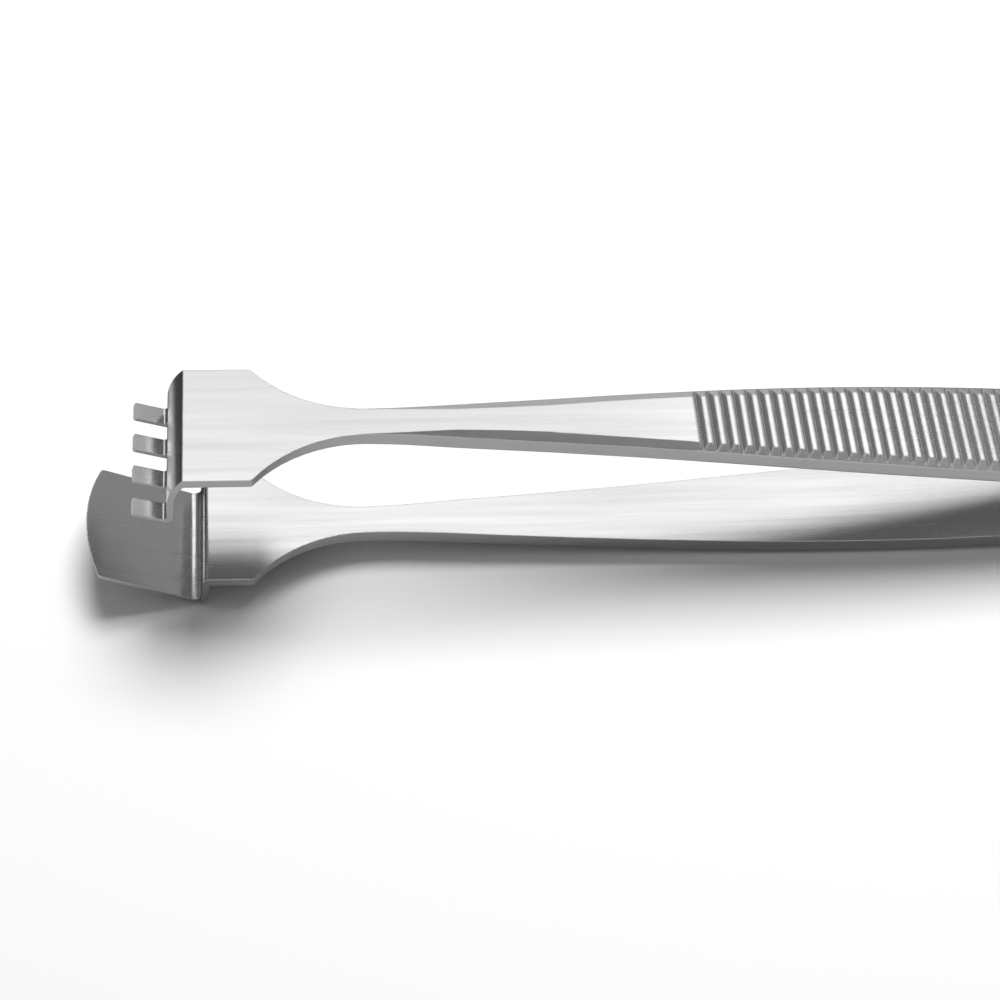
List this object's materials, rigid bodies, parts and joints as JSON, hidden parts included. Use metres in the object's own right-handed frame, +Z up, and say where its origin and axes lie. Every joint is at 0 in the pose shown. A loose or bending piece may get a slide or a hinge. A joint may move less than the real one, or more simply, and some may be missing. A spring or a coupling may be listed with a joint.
{
  "type": "wafer tweezers",
  "caption": "Stainless tweezers for flat wafers: two sprung arms with serrated grips, one ending in a stepped comb, the other in a stepped rounded paddle.",
  "frame": {"origin": "centre of the bounding box in plan, at the lowest point, so that the tweezers lie on z = 0 on the lower arm", "axes": "+X from the working tips to the heel, +Y across the arms, +Z up through the two arms"},
  "size_m": [0.1422, 0.0134, 0.0169],
  "materials": {
    "steel": "satin, brushed along the arms"
  },
  "bodies": {
    "root": {"upper_arm": "steel", "lower_arm": "steel"}
  },
  "joints": []
}
